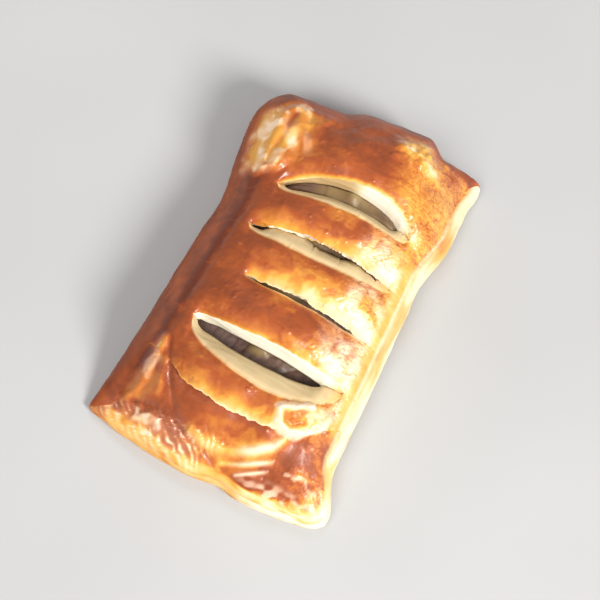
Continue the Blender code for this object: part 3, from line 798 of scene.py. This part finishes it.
def make_crust():
    """Crust as one closed shell: strips between lips, cut faces down to the hollow's roof, the
    hollow's walls and floor, the outer walls and the base."""
    shell = Shell(("bake", "dough", "glaze", "film"))
    a = lid_columns()
    inside = abs(a) <= HOLLOW_ACROSS + 1e-9
    hollow_a = a[inside]
    first = int(np.argmax(inside))

    lips = []
    for number in range(len(SLASHES)):
        far_row, far_b = add_lip(shell, a, lambda x: crust_lip(number, 1, x), number, 0)
        near_b = row_at(a, lambda x: crust_lip(number, -1, x))
        x, y = lid_plan(a, far_b)
        _, u = slash_middle(SLASHES[number], x)
        opened = (u < 0.995) & (abs(a) < HOLLOW_ACROSS - 0.004)
        near_row = far_row.copy()
        x, y = lid_plan(a[opened], near_b[opened])
        z = lid_height(a[opened], near_b[opened], x, y, False)
        near_row[opened] = shell.add(
            x, y, z, bake=lid_bake_and_painted_light(x, y, np.ones_like(x), number + 1), glaze=1, dough=0.6)
        near_b = np.where(opened, near_b, far_b)
        lips.append(dict(far=far_row, near=near_row, far_b=far_b, near_b=near_b, opened=opened))

    # Strips, far one first; the last two meet at the lap
    grids = []
    far_end = np.ones_like(a)
    rows, _ = add_lid_rows(shell, a, lips[0]["far_b"], far_end, STRIP_ROWS[0], 0, skip=(1, 0))
    grids.append(np.vstack((lips[0]["far"], rows)))
    for number in (1, 2, 3):
        start, end = lips[number], lips[number - 1]
        rows, _ = add_lid_rows(shell, a, start["far_b"], end["near_b"], STRIP_ROWS[number], number)
        grids.append(np.vstack((start["far"], rows, end["near"])))

    def lap_line(x, out):
        middle, u = lap_middle(x)
        ends = fall(u, 1, 0.2)
        shift = LAP["tuck"] if out > 0 else -LAP["hang"]
        return middle + mix(-0.25 * out, shift + ragged(x, 0.5, 95), ends)

    under_b = row_at(a, lambda x: lap_line(x, 1))
    over_b = row_at(a, lambda x: lap_line(x, -1))
    near_end = -np.ones_like(a)
    below, _ = add_lid_rows(shell, a, near_end, under_b, STRIP_ROWS[5], 5, past_lap=True, skip=(0, 0))
    above, _ = add_lid_rows(shell, a, over_b, lips[3]["near_b"], STRIP_ROWS[4], 4, skip=(0, 1))
    low_x, low_y = lid_plan(a, under_b)
    low_z = lid_height(a, under_b, low_x, low_y, True)
    high_x, high_y = lid_plan(a, over_b)
    high_z = lid_height(a, over_b, high_x, high_y, False)
    s = np.linspace(0, 1, LAP_ROWS + 2)[1:-1, None]
    lapped = np.maximum(low_y - high_y, 0)
    fold_x = mix(low_x, high_x, s)
    fold_y = mix(low_y, high_y, s ** 0.6) - 0.1 * lapped * np.sin(s * np.pi)
    folded = smooth(lapped / 1.5)
    plain = lid_bake_and_painted_light(fold_x, fold_y, np.full_like(fold_x, 0.9), 4)
    # The lap's folded face runs from dark brown at its foot, painted shadow under the overhang, to
    # golden at the lip.
    fold = shell.add(fold_x, fold_y, mix(low_z, high_z, s ** 1.5),
                     bake=mix(plain, mix(0.75, 0.26, s), folded), glaze=0.2,
                     dough=0.3 * folded * np.sin(s * np.pi))
    near_grid = np.vstack((below, fold, above, lips[3]["near"]))

    lid = [near_grid, grids[3], grids[2], grids[1], grids[0]]
    for grid in lid:
        shell.skin(grid)

    # Roof of the hollow and the cut faces that join it to the lips
    def roof_point(at, b):
        x, y = lid_plan(at, b)
        return x, y, ceiling_height(at, b, x, y, at / HOLLOW_ACROSS)

    inner = []
    for number, lip in enumerate(lips):
        opened = lip["opened"][inside]
        far_b = row_at(hollow_a, lambda x: inner_lip(number, 1, x))
        near_b = row_at(hollow_a, lambda x: inner_lip(number, -1, x))
        near_b = np.where(opened, near_b, far_b)
        start, end = SLASHES[number]["inside"]

        def lip_point(at, b):
            x, y, z = roof_point(at, b)
            past = abs(2 * x - start - end) / (end - start)
            shut = np.maximum(rise(past, 0.82, 0.24), gapless(SLASHES[number], x))
            crust = lid_height(at, b, x, y, False)
            return x, y, mix(z, crust - mix(1.6, 0.6, rise(past, 1, 0.12)), shut)

        far_row = shell.add(*lip_point(hollow_a, far_b), dough=1, bake=0.5)
        near_row = far_row.copy()
        near_row[opened] = shell.add(*lip_point(hollow_a[opened], near_b[opened]), dough=1, bake=0.5)
        inner.append(dict(far=far_row, near=near_row, far_b=far_b, near_b=near_b))

        columns = np.flatnonzero(lip["opened"])
        columns = np.arange(columns[0] - 1, columns[-1] + 2)
        places = np.concatenate(shell.places)
        shared = None
        for side in ("far", "near"):
            top = lip[side][columns]
            bottom = inner[number][side][columns - first]
            s = np.linspace(0, 1, CUT_RINGS + 2)[1:-1, None]
            start, end = places[top], places[bottom]
            full = SLASHES[number]["full"] if side == "near" else 1.3
            depth = s ** full
            calm = smooth(s / 0.3)
            x = mix(start[:, 0], end[:, 0], s)
            y = mix(mix(start[:, 1], evened(start[:, 1], 5), calm), end[:, 1], s ** 0.9)
            z = mix(mix(start[:, 2], evened(start[:, 2], 9), calm), end[:, 2], depth)
            leaf = noise(x, 4 * z, 9, 101 + number) * 0.3 + 0.08 * np.sin(3.2 * z)
            y = y + np.sin(s * np.pi) * leaf
            tinted = smooth((SLASHES[number]["stained"] - start[:, 0]) / 9 + 0.5)
            tone = 0.85 * tinted if side == "far" else 0.58
            from_left = (start[:, 0] - SLASHES[number]["left"]) / SLASHES[number]["brown"][0]
            from_right = (SLASHES[number]["right"] - start[:, 0]) / SLASHES[number]["brown"][1]
            pale = smooth(0.1 + 0.9 * np.minimum(from_left, from_right))
            soft = smooth(s / (0.12 if side == "far" else 0.3))
            cut = dict(dough=mix(0.6 * (side == "near"), 1, soft) * pale,
                       bake=mix(0.28, mix(0.34, tone, soft), pale), glaze=0.25 + 0 * x)
            if shared is None:
                rings = shell.add(x, y, z, **cut)
                shared = rings
            else:
                ends = rings[:, [0, -1]]
                cut = {name: value[:, 1:-1] for name, value in cut.items()}
                middle = shell.add(x[:, 1:-1], y[:, 1:-1], z[:, 1:-1], **cut)
                rings = np.hstack((ends[:, :1], middle, ends[:, 1:]))
            shell.skin(np.vstack((top, rings, bottom)))

    def roof_rows(start, end, skip):
        b, _ = rows_between(start, end, ROOF_ROWS)
        b = b[skip[0]:ROOF_ROWS - skip[1]]
        at = np.broadcast_to(hollow_a, b.shape)
        return shell.add(*roof_point(at, b), dough=1)

    near_wall = np.full_like(hollow_a, HOLLOW_NEAR)
    far_wall = np.full_like(hollow_a, HOLLOW_FAR)
    roof = [np.vstack((roof_rows(near_wall, inner[3]["near_b"], (0, 1)), inner[3]["near"]))]
    for number in (3, 2, 1):
        rows = roof_rows(inner[number]["far_b"], inner[number - 1]["near_b"], (1, 1))
        roof.append(np.vstack((inner[number]["far"], rows, inner[number - 1]["near"])))
    roof.append(np.vstack((inner[0]["far"], roof_rows(inner[0]["far_b"], far_wall, (1, 0)))))
    for grid in roof:
        shell.skin(grid)

    # Walls and floor of the hollow, from the loop round its roof
    loop = rim(roof)
    x, y, z = shell.at(loop)
    s = np.linspace(0, 1, 5)[1:, None]
    bow = 1 + 0.035 * np.sin(s * np.pi)
    rings = shell.add(x * bow, y * bow, mix(z, BASE_THICKNESS, s), dough=1)
    shell.tube(np.vstack((loop, rings)))
    shell.cap(rings[-1], BASE_THICKNESS, dough=1)

    # Outer walls and base, from the loop round the lid
    loop = rim(lid)
    square = rim_square(a, lid, loop, shell)
    places = np.concatenate(shell.places)[loop]
    c = (np.linspace(0, 1, WALL_RINGS)[1:, None]) ** 0.9
    at = np.broadcast_to(square[0], (c.size, loop.size))
    along = np.broadcast_to(square[1], (c.size, loop.size))
    x, y, z = wall_form(at, along, places[:, 2], c)
    bake, glaze, dough = wall_finish(at, along, c, x, y, z)
    # Pale flakes and painted highlight on the near wall's wrinkle crests, and painted highlight where
    # the folded corner reaches down the left wall, broken up by noise.
    film = 0.8 * (along < -0.999) * fall(x, 2, 16) * wrinkle_crests(x, y) * smooth(1 - c / 0.6)
    highlight_breakup = smooth(0.5 + 1.1 * noise(y, 1.6 * z, 5, 93))
    film = film + 0.8 * flap_on_wall(at, c, y) * lid_film_and_highlight(x, y) * highlight_breakup
    rings = shell.add(x, y, z, bake=bake, glaze=glaze, dough=dough, film=film)
    shell.tube(np.vstack((loop, rings)))
    s = np.array([0.96, 0.85, 0.6, 0.3])[:, None]
    base = shell.add(x[-1] * s, y[-1] * s, np.zeros_like(s), bake=0.55, glaze=0.1)
    shell.tube(np.vstack((rings[-1], base)))
    shell.cap(base[-1], 0, bake=0.55, glaze=0.1)
    return shell


def rim(grids):
    """Loop of point numbers round a stack of grids that share their border rows."""
    right = [grid[:, -1] for grid in grids]
    left = [grid[:, 0] for grid in grids]
    up = np.concatenate([right[0]] + [side[1:] for side in right[1:]])
    down = np.concatenate([left[0]] + [side[1:] for side in left[1:]])[::-1]
    return np.concatenate((grids[0][0][:-1], up[:-1], grids[-1][-1][::-1][:-1], down[:-1]))


def rim_square(a, grids, loop, shell):
    """a and b of each point of the lid's loop, read back from the sides that it lies on."""
    places = np.concatenate(shell.places)
    columns = a.size
    rows = sum(grid.shape[0] for grid in grids) - len(grids) + 1
    side_a = np.concatenate((a[:-1], np.ones(rows - 1), a[::-1][:-1], -np.ones(rows - 1)))
    near = np.full(columns - 1, -1)
    far = np.full(columns - 1, 1)
    sides = []
    for edge, part in ((1, loop[columns - 1:columns + rows - 2]), (-1, loop[2 * columns + rows - 3:])):
        target = places[part, 1]
        b = np.zeros_like(target)
        for _ in range(14):
            _, y = lid_plan(np.full_like(b, edge), b)
            b = b + (target - y) / HALF_LENGTH
        sides.append(np.clip(b, -1, 1))
    return side_a, np.concatenate((near, sides[0], far, sides[1]))


def wall_finish(a, b, c, x, y, z):
    """Smooth left wall, darker brown from its own browning and painted shade; right wall pale as
    painted highlight; far rim dark as painted shade; pale leaves at the near end.
    """
    left = fall(a, -0.2, 0.6)
    right = rise(a, 0.2, 0.6)
    far = (b > 0.999) * 1
    near = (b < -0.999) * 1
    side = (1 - far) * (1 - near)
    folded = 0.42 * flap_on_wall(a, c, y)
    # Left wall darker brown, partly its own browning and partly painted shade; right wall paler,
    # painted highlight.
    bake = side * (left * (mix(0.88, 0.76, c) - folded) + right * mix(0.32, 0.16, smooth(c / 0.3)))
    pale_end = rise(x, 2, 24)
    near_bake = mix(mix(0.36, 0.2, pale_end), mix(0.4, 0.1, pale_end), smooth(c / 0.3))
    near_bake = near_bake + 0.3 * fall(x, -40, 8) - 0.1 * bump(x + 9, 9)
    # Far rim dark brown: painted shade.
    bake = bake + far * mix(0.86, 0.6, c) + near * near_bake
    bake = bake + 0.06 * noise(x + y, z * 2, 9, 55) + 0.06 * noise(x + y, z * 2, 3, 56)
    streaks = noise(0.4 * x, 3 * z + 0.5 * noise(x, z, 5, 59), 1.6, 57)
    bake = bake + near * (0.1 + 0.2 * pale_end) * streaks
    # Pale dough colour over the right wall: painted highlight.
    dough = side * right * 0.9 * smooth(c / 0.16) + near * (0.2 + 0.5 * pale_end) * smooth(c / 0.4)
    dough = dough * (1 - near * 0.8 * smooth(0.2 + streaks))
    # A golden band and patches across the right wall, where it is painted less pale.
    tinted = side * right * bump((y - 42) / 9, 1) * bump((c - 0.34) / 0.2, 1)
    patch = smooth(1.5 * noise(y, 2.2 * z, 11, 60) - 0.1) * smooth(c / 0.1)
    patch = np.maximum(patch * fall(y, 52, 10), bump((y - 42) / 8, 1)) * side * right
    bake = bake + 0.16 * tinted + side * right * 0.07 * noise(0.3 * y, 3 * z, 1.5, 58) + 0.12 * patch
    dough = dough * (1 - tinted) * (1 - 0.75 * patch)
    glaze = mix(0.6, 0.1, smooth(c / 0.5))
    return bake, glaze + 0 * x, dough


def chunks(x, y, pitch, seed):
    """Cut vegetables: on a jittered net, each place takes the tallest of the domes around it.
    A dome is its height less the square of the distance; each has its own height and kind."""
    random = np.random.default_rng(seed)
    shift_x = random.uniform(-0.38, 0.38, (64, 64))
    shift_y = random.uniform(-0.38, 0.38, (64, 64))
    heights = random.uniform(-1.6, 1.8, (64, 64))
    stretch = random.uniform(0.75, 1.4, (64, 64))
    kinds = random.uniform(0, 1, (64, 64))
    u = x / pitch + 320
    v = y / pitch + 320
    best = np.full(np.shape(x), -1e9)
    kind = np.zeros(np.shape(x))
    for step_i in (-1, 0, 1):
        for step_j in (-1, 0, 1):
            i = np.floor(u).astype(int) + step_i
            j = np.floor(v).astype(int) + step_j
            at = (i % 64, j % 64)
            across = (u - i - 0.5 - shift_x[at]) * pitch * stretch[at]
            along = (v - j - 0.5 - shift_y[at]) * pitch / stretch[at]
            dome = heights[at] - 0.19 * (across ** 2 + along ** 2) ** 1.15 / pitch
            higher = dome > best
            best = np.where(higher, dome, best)
            kind = np.where(higher, kinds[at], kind)
    return best, kind


def make_vegetables():
    """Filling: a heap of cut vegetables under the lid, with walls down to a flat base. Its top is
    the least of the heap and the lid's underside, and one lump fills the far slash's middle."""
    shell = Shell(("kind", "bake"))
    shrink = GAP + 0.5
    a = np.linspace(-1, 1, 150) * (HOLLOW_ACROSS - shrink / 38)
    b = np.linspace(HOLLOW_NEAR + shrink / 72, HOLLOW_FAR - shrink / 72, 230)[:, None]
    at, along = np.broadcast_arrays(a, b)
    x, y = lid_plan(at, along)
    sides = at / a[-1]
    ceiling = ceiling_height(at, along, x, y, sides)
    bent_x = x + 1.6 * noise(x, y, 4.5, 14)
    bent_y = y + 1.6 * noise(x, y, 4.5, 15)
    heap, kind = chunks(bent_x, bent_y, 8.5, 5)
    small, _ = chunks(bent_x, bent_y, 2.6, 6)
    surface = FILLING_TOP - 0.6 + 0.34 * heap + 0.08 * small + 0.8 * noise(x, y, 7, 8)
    surface = surface + 0.14 * noise(x, y, 1.3, 9) - 5 * abs(sides) ** 3
    surface = surface - 1.6 * bump((y + 34) / 9, 1)
    olive = bump(np.hypot((x + 4.5) / 1.7, y + 31), 2.6)
    surface = surface + 2.4 * olive
    kind = mix(0.34 + 0.62 * kind, 0.08, smooth(1.6 * olive))
    for slash in SLASHES[1:3]:
        line, u = slash_middle(slash, x)
        under = bump((y - line) / 5, 1) * lens(u)
        surface = mix(surface, 28.8 + 0.4 * heap, smooth(1.6 * under))
        kind = mix(kind, 0.2 + 0.12 * noise(x, y, 5, 16), smooth(1.6 * under))
    line, u = slash_middle(SLASHES[0], x)
    heaped = bump((y - line) / 4.5, 1) * lens(u)
    surface = mix(surface, 28.6 + 0.5 * noise(x, y, 5, 12), smooth(1.6 * heaped))
    lump = bump(np.hypot((x - 2.9) / 1.3, (y - 37.4) / 1.8), 1.8)
    surface = surface + 1.8 * lump
    toned = 0.19 + 0.12 * noise(x, y, 4.5, 13) + 0.16 * fall(x, -8, 10) - 0.2 * lump
    kind = mix(kind, toned, smooth(2 * heaped))
    raised = smooth(1 - (abs(y - line) - 1.4) / 1.4) * lens(u)
    ceiling = ceiling + 3.6 * raised
    slope = surface - (ceiling - 2 * GAP)
    surface = np.where(slope > -1, surface - np.clip(slope + 1, 0, 2) ** 2 / 4, surface)
    surface = np.minimum(surface, ceiling - 1.2 * GAP)
    # The heap's height goes along, for painted shade between the pieces.
    top = shell.add(x, y, surface, kind=kind, bake=heap)
    shell.skin(top)
    loop = rim([top])
    x, y, z = shell.at(loop)
    s = np.linspace(0, 1, 5)[1:, None]
    rings = shell.add(x, y, mix(z, BASE_THICKNESS + GAP, s), kind=0.5)
    shell.tube(np.vstack((loop, rings)))
    shell.cap(rings[-1], BASE_THICKNESS + GAP, kind=0.5)
    return shell


class Socket:
    """A shader value. An expression on it adds the Math nodes that work it out."""

    def __init__(self, tree, link):
        self.tree = tree
        self.link = link

    def math(self, operation, *values):
        node = self.tree.nodes.new("ShaderNodeMath")
        node.operation = operation
        for place, value in zip(node.inputs, values):
            self.put(place, value)
        return Socket(self.tree, node.outputs[0])

    def put(self, place, value):
        if isinstance(value, Socket):
            self.tree.links.new(value.link, place)
        else:
            place.default_value = value

    def __add__(self, other):
        return self.math('ADD', self, other)

    def __sub__(self, other):
        return self.math('SUBTRACT', self, other)

    def __mul__(self, other):
        return self.math('MULTIPLY', self, other)

    def __rsub__(self, other):
        return self.math('SUBTRACT', other, self)

    __radd__ = __add__
    __rmul__ = __mul__

    def within(self, low, high):
        """0 below low, 1 above high, and an S-shaped step between."""
        node = self.tree.nodes.new("ShaderNodeMapRange")
        node.interpolation_type = 'SMOOTHSTEP'
        for name, value in (("Value", self), ("From Min", low), ("From Max", high)):
            self.put(node.inputs[name], value)
        return Socket(self.tree, node.outputs["Result"])


class Finish:
    """A material with one glossy shader, and the nodes that feed it."""

    def __init__(self, name, **constants):
        self.material = bpy.data.materials.new(name)
        self.material.use_nodes = True
        self.tree = self.material.node_tree
        self.shader = self.tree.nodes["Principled BSDF"]
        for socket, value in constants.items():
            self.shader.inputs[socket.replace("_", " ")].default_value = value
        self.place = self.node("ShaderNodeTexCoord", output="Object")

    def node(self, kind, settings=None, inputs=None, output=0):
        """Any node by its type: settings first, then the values or links of its sockets."""
        node = self.tree.nodes.new(kind)
        for name, value in (settings or {}).items():
            setattr(node, name, value)
        made = Socket(self.tree, node.outputs[output])
        for name, value in (inputs or {}).items():
            made.put(node.inputs[name], value)
        return made

    def attribute(self, name):
        return self.node("ShaderNodeAttribute", {"attribute_name": name}, output="Fac")

    def grain(self, scale, detail=3, roughness=0.55, stretch=(1, 1, 1)):
        place = self.node("ShaderNodeMapping", inputs={"Vector": self.place, "Scale": stretch})
        return self.node("ShaderNodeTexNoise", inputs={
            "Vector": place, "Scale": scale, "Detail": detail, "Roughness": roughness}, output="Fac")

    def cells(self, scale):
        inputs = {"Vector": self.place, "Scale": scale}
        return self.node("ShaderNodeTexVoronoi", inputs=inputs, output="Distance")

    def ramp(self, value, stops):
        """Colour by value, through stops of (position, red, green, blue)."""
        node = self.tree.nodes.new("ShaderNodeValToRGB")
        elements = node.color_ramp.elements
        while len(elements) < len(stops):
            elements.new(1)
        for element, (position, *color) in zip(elements, stops):
            element.position = position
            element.color = (*color, 1)
        self.tree.links.new(value.link, node.inputs["Fac"])
        return Socket(self.tree, node.outputs["Color"])

    def blend(self, share, first, second):
        """Colour mix of the first and second by share."""
        node = self.tree.nodes.new("ShaderNodeMix")
        node.data_type = 'RGBA'
        made = Socket(self.tree, node.outputs[2])
        made.put(node.inputs[0], share)
        for place, value in ((6, first), (7, second)):
            made.put(node.inputs[place], value if isinstance(value, Socket) else (*value, 1))
        return made

    def feed(self, **links):
        for name, value in links.items():
            self.tree.links.new(value.link, self.shader.inputs[name.replace("_", " ")])

    def emboss(self, height, strength, distance):
        bumped = self.node("ShaderNodeBump", inputs={
            "Height": height, "Strength": strength, "Distance": distance}, output="Normal")
        self.feed(Normal=bumped)


def crust_finish():
    """Egg-glazed puff pastry: brown by how baked it is and by painted shade and highlight, with darker
    freckles on the glaze, pale film and painted highlight, and pale matt dough where it is cut and,
    as painted highlight, along the right."""
    finish = Finish("egg_glazed_crust", Coat_Roughness=0.16, Coat_IOR=1.45)
    bake = finish.attribute("bake")
    dough = finish.attribute("dough")
    glaze = finish.attribute("glaze")
    broad = finish.grain(90, 3)
    fine = finish.grain(520, 4, 0.6)
    leaf = finish.grain(260, 3, 0.6, (0.6, 1.3, 1))
    film = finish.attribute("film")
    tone = bake - film * 0.28 + (broad - 0.5) * 0.18 + (fine - 0.5) * 0.1 + (leaf - 0.5) * 0.1
    crust = finish.ramp(tone, (
        (0, 0.88, 0.7, 0.42),
        (0.2, 0.84, 0.52, 0.17),
        (0.38, 0.77, 0.37, 0.056),
        (0.56, 0.57, 0.182, 0.027),
        (0.74, 0.38, 0.08, 0.015),
        (0.95, 0.165, 0.032, 0.01)))
    freckle = finish.cells(300).within(0.22, 0.1) * 0.16 * glaze
    crust = finish.blend(freckle, crust, (0.16, 0.035, 0.012))
    # Whitened by the pale film and painted highlight.
    crust = finish.blend(film, crust, (0.95, 0.7, 0.52))
    layer = finish.grain(300, 3, 0.5, (0.3, 1.2, 1.6))
    pale = finish.ramp(bake + (layer - 0.5) * 0.4 + (broad - 0.5) * 0.2, (
        (0, 0.84, 0.78, 0.64),
        (0.25, 0.78, 0.68, 0.46),
        (0.55, 0.62, 0.48, 0.26),
        (0.85, 0.5, 0.34, 0.16)))
    color = finish.blend(dough, crust, pale)
    sheen = glaze * (1 - dough)
    finish.feed(Base_Color=color, Coat_Weight=sheen * 0.4, Roughness=0.62 - sheen * 0.2)
    grit = finish.grain(1500, 2, 0.6)
    beads = finish.cells(330).within(0.26, 0.06) * broad.within(0.5, 0.66) * glaze
    finish.emboss(fine * 0.35 + leaf * 0.45 + broad * 0.4 + grit * 0.16 + beads * 0.5, 0.4, 0.0005)
    return finish.material


def vegetable_finish():
    """Cooked vegetables: each piece takes its own tone, darker where the heap is low between pieces as
    painted shade, under a thin moist film.
    """
    finish = Finish("cooked_vegetables", Coat_Roughness=0.25)
    kind = finish.attribute("kind")
    heap = finish.attribute("bake")
    fine = finish.grain(600, 4, 0.6)
    broad = finish.grain(160, 2)
    color = finish.ramp(kind + (broad - 0.5) * 0.12, (
        (0, 0.27, 0.19, 0.075),
        (0.16, 0.2, 0.122, 0.05),
        (0.34, 0.13, 0.072, 0.045),
        (0.58, 0.11, 0.056, 0.048),
        (0.8, 0.15, 0.092, 0.076),
        (1, 0.12, 0.064, 0.058)))
    # Painted shade: darker where the heap is low between the pieces.
    color = finish.blend(heap.within(0.2, -1.6) * 0.5, color, (0.075, 0.038, 0.028))
    color = finish.blend(fine.within(0.5, 0.8) * 0.1, color, (0.3, 0.25, 0.17))
    finish.feed(Base_Color=color, Roughness=0.66 - fine * 0.25, Coat_Weight=broad * 0.2)
    finish.emboss(fine + broad * 0.5, 0.3, 0.0004)
    return finish.material


def make_floor():
    """A wide, flat, pale floor: one square."""
    edge = 3
    corners = [(-edge, -edge, 0), (edge, -edge, 0), (edge, edge, 0), (-edge, edge, 0)]
    mesh = bpy.data.meshes.new("floor")
    mesh.from_pydata(corners, [], [(0, 1, 2, 3)])
    made = bpy.data.objects.new("floor", mesh)
    bpy.context.scene.collection.objects.link(made)
    finish = Finish("pale_floor", Roughness=0.7)
    shade = finish.grain(6, 2)
    finish.feed(Base_Color=finish.ramp(shade, ((0.3, 0.44, 0.44, 0.44), (0.7, 0.48, 0.48, 0.48))))
    mesh.materials.append(finish.material)
    return made


def make_light(name, towards, distance, size, power, color):
    """A round soft light that looks at the middle of the food from a direction."""
    light = bpy.data.lights.new(name, 'AREA')
    light.shape = 'DISK'
    light.size = size
    light.energy = power
    light.color = color
    made = bpy.data.objects.new(name, light)
    direction = Vector(towards).normalized()
    made.location = direction * distance
    made.rotation_mode = 'QUATERNION'
    made.rotation_quaternion = direction.to_track_quat('Z', 'Y')
    bpy.context.scene.collection.objects.link(made)
    return made


def make_camera(move):
    """Camera above the near end, tipped 20 degrees from straight down and rolled by 25."""
    pitch, roll, lean = np.radians(20), np.radians(25.3), np.radians(3)
    back = np.array([-np.sin(lean), -np.sin(pitch), 0])
    back[2] = np.sqrt(1 - back @ back)
    right = np.cross((0, 1, 0), back)
    right /= np.linalg.norm(right)
    up = np.cross(back, right)
    rolled_right = np.cos(roll) * right + np.sin(roll) * up
    rolled_up = np.cos(roll) * up - np.sin(roll) * right
    place = (back * 450 + (0, 0, 15) + move) * MM
    data = bpy.data.cameras.new("camera")
    data.sensor_width = 36
    data.lens = 1195 * 36 / 600
    data.shift_y = -12 / 600
    data.clip_start = 0.01
    made = bpy.data.objects.new("camera", data)
    axes = np.eye(4)
    axes[:3, :3] = np.stack((rolled_right, rolled_up, back), axis=1)
    axes[:3, 3] = place
    made.matrix_world = Matrix(axes.tolist())
    bpy.context.scene.collection.objects.link(made)
    bpy.context.scene.camera = made


def outline_middle():
    """Middle of the crust's box in plan, worked out from the wall's form at its rings."""
    side = np.linspace(-1, 1, 400)
    edge = np.ones_like(side)
    a = np.concatenate((side, side, edge, -edge))
    b = np.concatenate((edge, -edge, side, side))
    c = np.linspace(0, 1, 60)[:, None]
    x, y = plan(np.broadcast_to(a, (60, a.size)), np.broadcast_to(b, (60, a.size)), wall_inset(c))
    return np.array([-(x.min() + x.max()) / 2, -(y.min() + y.max()) / 2, 0])


def main():
    move = outline_middle()
    crust = make_crust().make("crust", move)
    crust.data.materials.append(crust_finish())
    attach(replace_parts(crust, "pastry"), "root")
    vegetables = make_vegetables().make("vegetables", move)
    vegetables.data.materials.append(vegetable_finish())
    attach(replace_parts(vegetables, "filling"), "root")

    make_floor()
    make_camera(move)
    make_light("key_light", (0.9, -0.4, 0.8), 1.8, 0.66, 40, (1, 0.98, 0.95))
    fill = make_light("fill_light", (-0.35, 0.6, 1), 1.1, 0.5, 2.4, (0.98, 0.98, 1))
    fill.visible_glossy = False
    near = make_light("near_light", (-0.45, -0.75, 1), 1.6, 0.8, 12, (1, 0.99, 0.97))
    near.visible_glossy = False
    world = bpy.data.worlds.new("studio")
    world.use_nodes = True
    world.node_tree.nodes["Background"].inputs["Color"].default_value = (1, 1, 1, 1)
    world.node_tree.nodes["Background"].inputs["Strength"].default_value = 0.34
    bpy.context.scene.world = world
    bpy.context.scene.view_settings.view_transform = 'Standard'


main()
